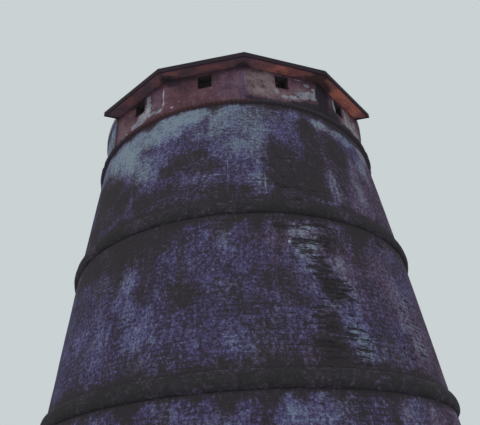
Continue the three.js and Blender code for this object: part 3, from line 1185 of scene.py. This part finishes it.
# The roof: its soffit, eaves boards and felt
DULL_RED = colour(104, 84, 92)
FADED_RED = colour(142, 102, 108)
STREAK_RED = colour(186, 112, 106)
# A painted pool of sunlight on the soffit, from red to orange
SUNLIT_RED = colour(160, 100, 98)
SUNLIT_ORANGE = colour(216, 134, 118)
# Grime, with painted shade in the soffit's corner at the wall and along its hips
THIN_GRIME_AND_SHADE = colour(84, 77, 82)
THICK_GRIME_AND_SHADE = colour(58, 53, 57)
LIMED_EDGE = colour(114, 114, 128)
ROOM_CEILING = colour(208, 200, 196)
DARK_BOARD = colour(39, 32, 38)
PALER_BOARD = colour(56, 46, 53)
DARK_FELT = (colour(62, 59, 61), colour(80, 76, 76))
DUSTY_FELT = (colour(94, 89, 88), colour(120, 113, 108))

# The tank's floor and the studio
DARK_CONCRETE = colour(150, 145, 140)
PALE_CONCRETE = colour(182, 176, 168)
FLOOR_GREYS = (colour(205, 208, 210), colour(212, 214, 216))
SKY_GREY = colour(202, 210, 212)

MATT_SPECULAR = 0.08


class Finish:
    """A node material put together step by step."""

    def __init__(self, name, roughness):
        self.material = bpy.data.materials.new(name)
        self.material.use_nodes = True
        self.tree = self.material.node_tree
        self.shader = self.tree.nodes["Principled BSDF"]
        self.shader.inputs["Roughness"].default_value = roughness
        self.shader.inputs["Specular IOR Level"].default_value = MATT_SPECULAR
        self.object_place = self.node("ShaderNodeTexCoord").outputs["Object"]

    def node(self, kind, **settings):
        """A new node with its settings."""
        node = self.tree.nodes.new(kind)
        for key, value in settings.items():
            setattr(node, key, value)
        return node

    def feed(self, socket, value):
        """Links an output, or sets a plain value."""
        if isinstance(value, bpy.types.NodeSocket):
            self.tree.links.new(value, socket)
        else:
            socket.default_value = value

    def noise(self, size, detail=3.0, roughness=0.55, stretch=(1, 1, 1), shift=0.0):
        """Cloudy noise from 0 to 1, with blots about size metres across before it is stretched."""
        mapping = self.node("ShaderNodeMapping")
        self.feed(mapping.inputs["Vector"], self.object_place)
        mapping.inputs["Scale"].default_value = [1 / s for s in stretch]
        mapping.inputs["Location"].default_value = (shift, shift, shift)
        texture = self.node("ShaderNodeTexNoise")
        self.feed(texture.inputs["Vector"], mapping.outputs["Vector"])
        texture.inputs["Scale"].default_value = 0.5 / size
        texture.inputs["Detail"].default_value = detail
        texture.inputs["Roughness"].default_value = roughness
        return texture.outputs["Fac"]

    def attribute(self, name):
        """The red, green and blue values kept in a colour attribute."""
        source = self.node("ShaderNodeAttribute", attribute_name=name)
        split = self.node("ShaderNodeSeparateColor")
        self.feed(split.inputs["Color"], source.outputs["Color"])
        return split.outputs["Red"], split.outputs["Green"], split.outputs["Blue"]

    def xyz(self):
        """The X, Y and Z of a place on the object."""
        split = self.node("ShaderNodeSeparateXYZ")
        self.feed(split.inputs[0], self.object_place)
        return split.outputs["X"], split.outputs["Y"], split.outputs["Z"]

    def measured(self, operation, vector):
        """A place on the object set against a fixed point or direction."""
        step = self.node("ShaderNodeVectorMath", operation=operation)
        self.feed(step.inputs[0], self.object_place)
        step.inputs[1].default_value = vector
        return step.outputs["Value"]

    def result(self, operation, *values):
        """What an operation on values comes to."""
        step = self.node("ShaderNodeMath", operation=operation)
        for socket, value in zip(step.inputs, values):
            self.feed(socket, value)
        return step.outputs["Value"]

    def sum(self, *terms):
        """Adds up (value, weight) pairs and plain numbers."""
        total = 0.0
        for term in terms:
            value, weight = term if isinstance(term, tuple) else (term, 1.0)
            total = self.result("MULTIPLY_ADD", value, weight, total)
        return total

    def product(self, first, *others):
        """Multiplies values."""
        for other in others:
            first = self.result("MULTIPLY", first, other)
        return first

    def band(self, value, low, high):
        """0 at low and beyond, 1 at high and beyond, and smooth between."""
        step = self.node("ShaderNodeMapRange", interpolation_type="SMOOTHSTEP")
        self.feed(step.inputs["Value"], value)
        step.inputs["From Min"].default_value = low
        step.inputs["From Max"].default_value = high
        return step.outputs["Result"]

    def mix(self, first, second, share):
        """One colour over another, by a share from 0 to 1."""
        step = self.node("ShaderNodeMix", data_type="RGBA")
        self.feed(step.inputs[0], share)
        self.feed(step.inputs[6], first)
        self.feed(step.inputs[7], second)
        return step.outputs[2]

    def ramp(self, value, *stops):
        """A colour that runs along stops of (place, red, green, blue)."""
        step = self.node("ShaderNodeValToRGB")
        self.feed(step.inputs["Fac"], value)
        elements = step.color_ramp.elements
        for element, (position, *shade) in zip(elements, (stops[0], stops[-1])):
            element.position = position
            element.color = colour(*shade)
        for position, *shade in stops[1:-1]:
            elements.new(position).color = colour(*shade)
        return step.outputs["Color"]

    def facing(self, azimuth):
        """Distance to the right of an azimuth in degrees, and 1 on the half of the tower that faces it."""
        angle = math.radians(azimuth)
        across = self.measured("DOT_PRODUCT", (math.cos(angle), math.sin(angle), 0))
        ahead = self.measured("DOT_PRODUCT", (math.sin(angle), -math.cos(angle), 0))
        return across, self.band(ahead, 0, 0.1)

    def upright_line(self, azimuth, low, high):
        """1 on a thin wandering line at an azimuth in degrees, between two heights."""
        across, this_half = self.facing(azimuth)
        height = self.xyz()[2]
        wander = self.noise(0.12, stretch=(1, 1, 3), shift=azimuth)
        off_line = self.result("ABSOLUTE", self.sum((across, 1.0), (wander, LINE_WANDER), -LINE_WANDER / 2))
        thin = self.band(off_line, LINE_HALF_WIDTH, 0)
        from_foot = self.band(height, low, low + LINE_FADE)
        from_top = self.band(height, high, high - LINE_FADE)
        return self.product(thin, from_foot, from_top, this_half)

    def level_line(self, azimuth, height, half_length):
        """1 on a thin level line about an azimuth in degrees, broken into specks."""
        across, this_half = self.facing(azimuth)
        wander = self.noise(0.2, shift=height)
        above = self.sum((self.xyz()[2], 1.0), (wander, BED_WANDER), -BED_WANDER / 2 - height)
        thin = self.band(self.result("ABSOLUTE", above), BED_HALF_WIDTH, 0)
        broken = self.band(self.noise(0.03, shift=9.0), 0.42, 0.56)
        short = self.band(self.result("ABSOLUTE", across), half_length, half_length - BED_FADE)
        return self.product(thin, broken, short, this_half)

    def spot(self, azimuth, height, size):
        """1 within a small ball where an azimuth and height meet the wall, with a ragged edge."""
        middle = tuple(around(math.radians(azimuth), wall_radius(height), height))
        distance = self.measured("DISTANCE", middle)
        ragged = self.sum((distance, 1.0), (self.noise(0.03), size), -size / 2)
        return self.band(ragged, size, size / 2)

    def bump(self, height, distance, strength):
        """Fine relief in the shading."""
        step = self.node("ShaderNodeBump")
        step.inputs["Strength"].default_value = strength
        step.inputs["Distance"].default_value = distance
        self.feed(step.inputs["Height"], height)
        self.feed(self.shader.inputs["Normal"], step.outputs["Normal"])

    def paint(self, base):
        """Gives the shader its colour, and returns the finished material."""
        self.feed(self.shader.inputs["Base Color"], base)
        return self.material


# Thin runs of lime down the upper tier: azimuth in degrees, lowest and highest point
LIME_RUNS = [(-7.3, 7.15, 8.20), (3.4, 7.15, 7.80)]
LINE_HALF_WIDTH = 0.010
LINE_WANDER = 0.06
LINE_FADE = 0.2
# A bed of bare mortar: azimuth of its middle, height and half its length
BARE_BED = (-14.0, 7.76, 0.42)
BED_HALF_WIDTH = 0.022
BED_WANDER = 0.03
BED_FADE = 0.15
# Small bright chips: azimuth, height and size
CHIPS = [(4.0, 7.03, 0.05), (7.8, 6.13, 0.03)]


def lime_coat(finish, lightness, chalk, damp_and_shade):
    """The coat's colour by its lightness: violet or grey in patches, a plum tint to the right that is
    painted warm light, and brown where damp and where shade is painted.
    """
    ramps = (VIOLET_LIME, BROWN_LIME, GREY_LIME, WARM_LIT_LIME)
    violet, brown, grey, warm_lit = (finish.ramp(lightness, *stops) for stops in ramps)
    violet_clouds = finish.noise(0.45, shift=9.2)
    violet_share = finish.band(finish.sum((violet_clouds, 1.0), (chalk, -0.22), 0.12), 0.36, 0.62)
    # Patchy plum tint that grows towards the right: painted warm light
    warm_light_clouds = finish.noise(0.60, detail=4, stretch=(1, 1, 1.6), shift=12.4)
    warm_light_share = finish.band(finish.sum((warm_light_clouds, 1.0), (finish.xyz()[0], 0.065), -0.03), 0.50, 0.68)
    clear_of_damp_and_shade = finish.mix(finish.mix(grey, violet, violet_share), warm_lit, warm_light_share)
    return finish.mix(clear_of_damp_and_shade, brown, damp_and_shade)


def limewash():
    """Limewash worn to specks over a dark purple coat, with lost bricks, lime runs, damp stains with painted
    shade under the courses, and painted warm light to the right.
    """
    finish = Finish("limewashed_masonry", roughness=0.95)
    damp_and_shade, chalk, worn = finish.attribute("weather")
    joint, lost, tone = finish.attribute("bond")
    clouds = finish.noise(0.35, detail=8, roughness=0.62, shift=3.1)
    specks = finish.noise(0.032, roughness=0.7)
    grit = finish.noise(0.015, detail=2, roughness=0.7, shift=8.0)
    streaks = finish.noise(0.040, detail=6, roughness=0.62, stretch=(1, 1, 10), shift=1.7)
    fibres = finish.noise(0.022, roughness=0.6, stretch=(1, 1, 3), shift=4.3)
    dashes = finish.noise(0.040, detail=5, roughness=0.65, stretch=(4, 4, 1), shift=6.1)
    flecks = finish.band(finish.noise(0.016, detail=1, shift=2.6), 0.64, 0.74)
    pits = finish.band(finish.noise(0.024, detail=2, shift=5.5), 0.58, 0.68)
    clear_of_damp_and_shade = finish.product(chalk, finish.sum((damp_and_shade, -0.7), 1.0))
    chalky = finish.product(clear_of_damp_and_shade, finish.sum((clouds, 0.9), (streaks, 0.5), 0.30))
    # Darker where damp, and where shade is painted under the courses
    damp_and_shade_dark = finish.product(damp_and_shade, finish.sum((clouds, -0.8), (streaks, -0.6), 1.7))
    mortar = finish.product(joint, finish.sum((worn, 0.20), (clouds, 2.2), -1.20))
    lines = [finish.upright_line(*run) for run in LIME_RUNS] + [finish.level_line(*BARE_BED)]
    grain = ((clouds, 0.60), (specks, 1.30), (grit, 1.00), (streaks, 0.40), (fibres, 0.35), (tone, 0.05))
    weather = ((chalky, 0.52), (damp_and_shade_dark, -0.32), (mortar, 0.8), (worn, 0.04), (flecks, 0.20))
    lime_lines = ((line, 0.50) for line in lines)
    chalk_pits = (finish.product(pits, chalk), -0.34)
    lightness = finish.sum(*grain, -1.40, *weather, *lime_lines, chalk_pits)
    coat = lime_coat(finish, lightness, chalk, damp_and_shade)
    holes = finish.band(finish.sum((lost, 0.35), (worn, 0.38), (dashes, 3.2), -1.58), 0.50, 0.60)
    base = finish.mix(coat, BARE_BRICK, finish.product(holes, finish.sum((joint, -0.3), 0.95)))
    for chip in CHIPS:
        base = finish.mix(base, BRIGHT_LIME, finish.spot(*chip))
    relief = finish.sum((specks, 0.6), (fibres, 0.3), (clouds, 0.8), (holes, -0.6))
    finish.bump(relief, distance=0.008, strength=0.7)
    return finish.paint(base)


def stained_render():
    """The near-black weathered render of the roll courses."""
    finish = Finish("stained_roll", roughness=0.95)
    chips, _, proud = finish.attribute("weather")
    specks = finish.noise(0.032, roughness=0.7)
    fibres = finish.noise(0.03, detail=4, roughness=0.6, stretch=(3, 3, 1), shift=3.0)
    clouds = finish.noise(0.30, detail=7, roughness=0.65, shift=2.0)
    grit = finish.noise(0.015, detail=2, roughness=0.7, shift=8.0)
    grain = ((clouds, 1.2), (specks, 1.3), (grit, 0.8), (fibres, 0.6))
    # The nose is painted a little darker: painted shade that evens out the light it catches
    base = finish.ramp(finish.sum(*grain, (proud, -0.12), (chips, 0.12), -1.45), *RENDER)
    finish.bump(finish.sum((specks, 0.6), (clouds, 0.6)), distance=0.008, strength=0.7)
    return finish.paint(base)


def ledge_brick():
    """Dark red-brown bricks on edge, sooty in long stretches and round most of the tower."""
    finish = Finish("ledge_brick", roughness=0.9)
    chips, joint, _ = finish.attribute("weather")
    specks = finish.noise(0.025, detail=4, roughness=0.65)
    clouds = finish.noise(0.60, detail=5, shift=4.4)
    x, y, _ = finish.xyz()
    red = finish.mix(DARK_BRICK, RED_BRICK, specks)
    away_from_red = finish.sum((clouds, 1.0), (x, 0.235), (y, 0.503), 1.82)
    darkened = finish.mix(red, BRICK_SOOT, finish.band(away_from_red, 0.36, 0.56))
    dusty = finish.mix(darkened, BRICK_DUST, finish.product(chips, 0.4))
    base = finish.mix(dusty, LEDGE_JOINT, finish.product(joint, 0.7))
    finish.bump(specks, distance=0.006, strength=0.7)
    return finish.paint(base)


def maroon_paint():
    """Dull maroon paint on plaster, chalky in places, peeled in patches, dark with soot and painted shade
    under the eaves and over face 4, and with painted shade in the window reveals.
    """
    finish = Finish("red_paint", roughness=0.85)
    shade_and_stain, peel, faded = finish.attribute("weather")
    front, violet, reveal_shade = finish.attribute("side")
    specks = finish.noise(0.024, detail=4, roughness=0.7)
    clouds = finish.noise(0.26, detail=8, roughness=0.66, shift=2.2)
    streaks = finish.noise(0.05, detail=5, stretch=(1, 1, 7), shift=0.8)
    tone = finish.sum((clouds, 1.5), (specks, 0.9), (streaks, 0.5), -0.95)
    red, bluish, plaster = (finish.ramp(tone, *stops) for stops in (MAROON, BLUISH_MAROON, PLASTER))
    aged = finish.mix(red, bluish, finish.product(violet, 0.8))
    chalk = finish.product(faded, finish.band(finish.sum((clouds, 1.8), (specks, 0.9), -0.85), 0.10, 0.75))
    dusty = finish.mix(aged, CHALKY_MAROON, finish.product(chalk, 0.9))
    bare = finish.band(finish.sum((peel, 1.5), (specks, 2.0), (clouds, 3.0), -2.95), 0.42, 0.50)
    patched = finish.mix(dusty, plaster, bare)
    # Soot and painted shade under the eaves and over face 4
    darkened = finish.band(finish.sum((shade_and_stain, 1.0), (streaks, 1.4), (clouds, 1.8), -1.6), 0.30, 0.85)
    soot_and_shade = finish.mix(THIN_SOOT_AND_SHADE, THICK_SOOT_AND_SHADE, finish.band(shade_and_stain, 0.80, 1.10))
    outside = finish.mix(patched, soot_and_shade, finish.product(darkened, 0.96))
    # The room's pale walls, with painted shade in the window reveals
    room = finish.mix(ROOM_WHITE, REVEAL_SHADE_GREY, reveal_shade)
    base = finish.mix(room, outside, finish.band(front, 0.80, 1.0))
    relief = finish.sum((specks, 0.6), (clouds, 0.5), (bare, -0.6))
    finish.bump(relief, distance=0.005, strength=0.7)
    return finish.paint(base)


def soffit_paint():
    """Red-brown paint on the soffit boards, redder in a streak, orange in a painted pool of sunlight, and
    dark at the wall and along the hips with painted shade.
    """
    finish = Finish("roof_boarding", roughness=0.8)
    shade_and_stain, sunlight, streak = finish.attribute("weather")
    in_room, on_flank, _ = finish.attribute("side")
    specks = finish.noise(0.03, detail=4, roughness=0.6)
    clouds = finish.noise(0.22, detail=7, roughness=0.62, shift=1.2)
    blotches = finish.band(clouds, 0.38, 0.58)
    faded = finish.mix(DULL_RED, FADED_RED, finish.band(clouds, 0.35, 0.65))
    redder = finish.mix(faded, STREAK_RED, finish.product(streak, blotches))
    sunlit = finish.mix(SUNLIT_RED, SUNLIT_ORANGE, blotches)
    coat = finish.mix(redder, sunlit, sunlight)
    # Grime, with painted shade at the wall and along the hips
    grime_and_shade_share = finish.band(finish.sum((shade_and_stain, 1.0), (clouds, 2.0), (specks, 0.8), -1.55), 0.30, 0.90)
    grime_and_shade = finish.mix(THIN_GRIME_AND_SHADE, THICK_GRIME_AND_SHADE, finish.band(shade_and_stain, 0.70, 1.10))
    grimed_and_shaded = finish.mix(coat, grime_and_shade, finish.product(grime_and_shade_share, 0.88))
    limed = finish.mix(grimed_and_shaded, LIMED_EDGE, finish.product(on_flank, 0.85))
    base = finish.mix(limed, ROOM_CEILING, in_room)
    finish.bump(specks, distance=0.003, strength=0.5)
    return finish.paint(base)


def fascia_paint():
    """Dark paint on the eaves boards, faintly cloudy."""
    finish = Finish("dark_fascia", roughness=0.75)
    specks = finish.noise(0.02, detail=4)
    clouds = finish.noise(0.10, detail=4, shift=0.4)
    base = finish.mix(DARK_BOARD, PALER_BOARD, finish.sum((specks, 0.5), (clouds, 0.5)))
    finish.bump(specks, distance=0.002, strength=0.5)
    return finish.paint(base)


def roof_felt():
    """Gritty felt, each strip in its own tone, with pale dust."""
    finish = Finish("roof_felt", roughness=0.9)
    dust, tone, _ = finish.attribute("weather")
    grit = finish.noise(0.006, roughness=0.7)
    clouds = finish.noise(0.35, detail=6, roughness=0.6, shift=5.0)
    dusty = finish.band(finish.sum((dust, 0.22), (clouds, 1.5), (tone, 0.16), -0.62), 0.0, 0.75)
    dark = finish.mix(*DARK_FELT, grit)
    pale = finish.mix(*DUSTY_FELT, grit)
    finish.bump(grit, distance=0.002, strength=0.6)
    return finish.paint(finish.mix(dark, pale, dusty))


def concrete():
    """The bare floor under the tank."""
    finish = Finish("floor_concrete", roughness=0.9)
    clouds = finish.noise(0.5, detail=5)
    grit = finish.noise(0.01, roughness=0.7)
    base = finish.mix(DARK_CONCRETE, PALE_CONCRETE, finish.sum((grit, 0.4), (clouds, 0.6)))
    finish.bump(grit, distance=0.002, strength=0.6)
    return finish.paint(base)


def pale_floor():
    """The studio floor's even, pale grey."""
    finish = Finish("studio_floor", roughness=0.9)
    clouds = finish.noise(2.0, detail=2)
    return finish.paint(finish.mix(*FLOOR_GREYS, clouds))


# Studio

def studio_floor():
    """The ground that the tower stands on."""
    bm = bmesh.new()
    bmesh.ops.create_grid(bm, x_segments=1, y_segments=1, size=FLOOR_HALF_WIDTH)
    floor = object_for(mesh_from(bm, "studio_floor"), "studio_floor")
    dress(floor, pale_floor())


def pale_sky():
    """Even light from all round."""
    world = bpy.data.worlds.new("pale_sky")
    world.use_nodes = True
    background = world.node_tree.nodes["Background"]
    background.inputs["Color"].default_value = SKY_GREY
    background.inputs["Strength"].default_value = 1.0
    bpy.context.scene.world = world
    bpy.context.scene.view_settings.view_transform = "Standard"


def soft_panels():
    """Large soft lamps at both sides and behind."""
    for name, energy, stand in SOFT_PANELS:
        lamp = bpy.data.lights.new(name, "AREA")
        lamp.shape = "RECTANGLE"
        lamp.size = PANEL_SIZE
        lamp.size_y = PANEL_SIZE
        lamp.energy = energy
        lamp.color = PANEL_COLOUR
        panel = bpy.data.objects.new(name, lamp)
        bpy.context.scene.collection.objects.link(panel)
        panel.location = stand
        panel.rotation_euler = (PANEL_AIM - panel.location).to_track_quat("-Z", "Y").to_euler()


def photo_camera():
    """The photograph's camera: turned about the tower, pitched up at it and rolled a little."""
    forward = Vector((
        math.sin(CAMERA_TURN) * math.cos(CAMERA_PITCH),
        math.cos(CAMERA_TURN) * math.cos(CAMERA_PITCH),
        math.sin(CAMERA_PITCH),
    ))
    level_right = Vector((math.cos(CAMERA_TURN), -math.sin(CAMERA_TURN), 0))
    level_up = level_right.cross(forward)
    right = math.cos(CAMERA_ROLL) * level_right + math.sin(CAMERA_ROLL) * level_up
    up = math.cos(CAMERA_ROLL) * level_up - math.sin(CAMERA_ROLL) * level_right
    facing = Matrix((right, up, -forward)).transposed().to_4x4()
    stand = Matrix.Translation((0, -CAMERA_DISTANCE, CAMERA_HEIGHT))
    lens = bpy.data.cameras.new("photo_camera")
    lens.sensor_width = SENSOR_WIDTH_MM
    lens.lens = FOCAL_PIXELS / PHOTO_WIDTH_PIXELS * SENSOR_WIDTH_MM
    camera = bpy.data.objects.new("photo_camera", lens)
    bpy.context.scene.collection.objects.link(camera)
    camera.matrix_world = Matrix.Rotation(CAMERA_AZIMUTH, 4, "Z") @ stand @ facing
    bpy.context.scene.camera = camera


LIMEWASH = limewash()
STAINED_RENDER = stained_render()
LEDGE_BRICK = ledge_brick()
MAROON_PAINT = maroon_paint()
SOFFIT_PAINT = soffit_paint()
FASCIA_PAINT = fascia_paint()
ROOF_FELT = roof_felt()

photo_camera()
studio_floor()
pale_sky()
soft_panels()
tier_walls()
rolls()
ledge()
head_walls()
flank_walls()
roof_deck()
covering()
hip_caps()
roof_cap()
fascias()
dress(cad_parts["tank_floor"], concrete())
